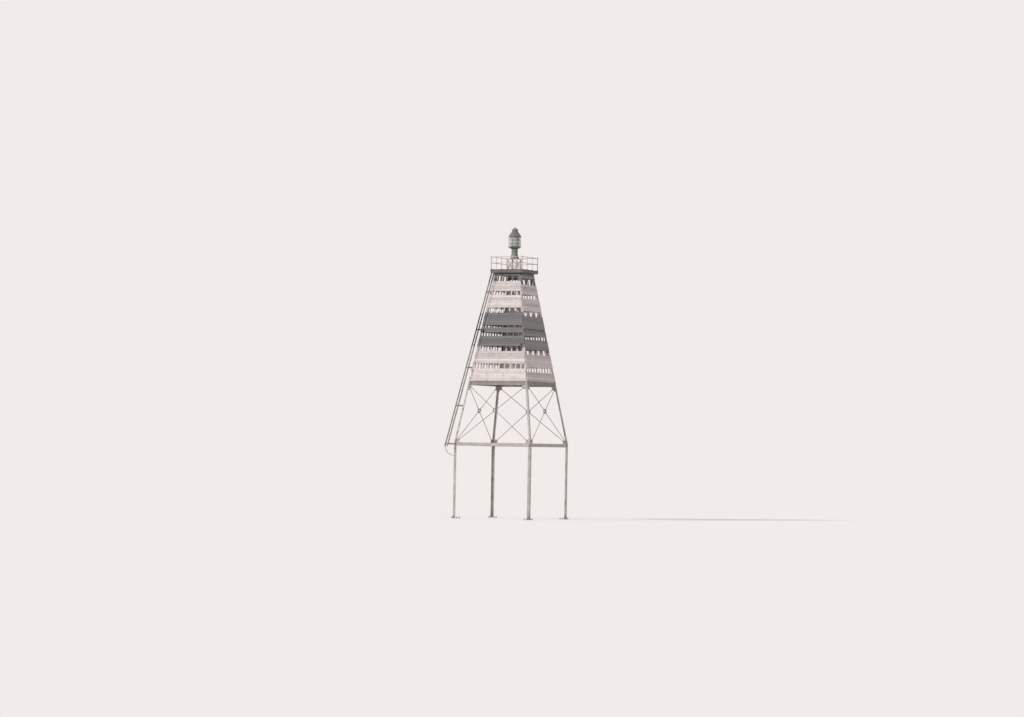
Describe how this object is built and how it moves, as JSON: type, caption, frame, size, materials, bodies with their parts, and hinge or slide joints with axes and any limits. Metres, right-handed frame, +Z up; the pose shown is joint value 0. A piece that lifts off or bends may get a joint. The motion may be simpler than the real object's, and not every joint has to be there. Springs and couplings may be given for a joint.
{
  "type": "skeleton light tower",
  "caption": "Steel skeleton light tower with a boarded, banded daymark, a railed gallery and a round lantern, standing on bolted base plates.",
  "frame": {"origin": "middle of the base on the ground, the centre of the four outermost anchor holes", "axes": "+Z up, the front face looks along -Y and the left face along -X, the ladder climbs the corner between them"},
  "size_m": [3.6542, 3.6542, 11.16],
  "materials": {
    "frame_steel": "weathered light grey paint on rolled angles",
    "beam_steel": "dark weathered paint with rust at the joints",
    "tie_steel": "dull grey paint on round rod and forgings",
    "batten_wood": "painted sawn softwood, weathered",
    "white_boards": "weathered white paint on boards",
    "black_boards": "faded black paint on boards",
    "floor_planks": "tarred planks",
    "railing_steel": "weathered white paint",
    "stand_steel": "chalky white paint",
    "lantern_paint": "grey-green gloss paint on castings and sheet, dulled by salt",
    "lens_glass": "pressed drum lens",
    "lamp_brass": "dull brass",
    "ladder_steel": "bleached grey paint on flat bar"
  },
  "bodies": {
    "root": {"post_front_left": "frame_steel", "post_front_right": "frame_steel", "post_back_right": "frame_steel", "post_back_left": "frame_steel", "ring_beam_front": "frame_steel", "ring_beam_right": "frame_steel", "ring_beam_back": "frame_steel", "ring_beam_left": "frame_steel", "leg_front_left": "frame_steel", "leg_front_right": "frame_steel", "leg_back_right": "frame_steel", "leg_back_left": "frame_steel", "cross_ties_front": "tie_steel", "cross_ties_right": "tie_steel", "cross_ties_back": "tie_steel", "cross_ties_left": "tie_steel", "sill_beam_front": "beam_steel", "sill_beam_right": "beam_steel", "sill_beam_back": "beam_steel", "sill_beam_left": "beam_steel", "batten_frame_front": "batten_wood", "batten_frame_right": "batten_wood", "batten_frame_back": "batten_wood", "batten_frame_left": "batten_wood", "white_boards_front": "white_boards", "white_boards_right": "white_boards", "white_boards_back": "white_boards", "white_boards_left": "white_boards", "black_boards_front": "black_boards", "black_boards_right": "black_boards", "black_boards_back": "black_boards", "black_boards_left": "black_boards", "gallery_frame": "beam_steel", "gallery_floor": "floor_planks", "railing_front": "railing_steel", "railing_right": "railing_steel", "railing_back": "railing_steel", "railing_left": "railing_steel", "lantern_stand": "stand_steel", "lantern_pedestal": "lantern_paint", "lantern_cage": "lantern_paint", "lantern_lens": "lens_glass", "lantern_roof": "lantern_paint", "lantern_burner": "lamp_brass", "lamp_chimney": "lens_glass", "blanking_screen": "lantern_paint", "ladder": "ladder_steel", "ladder_brackets": "ladder_steel"}
  },
  "joints": []
}
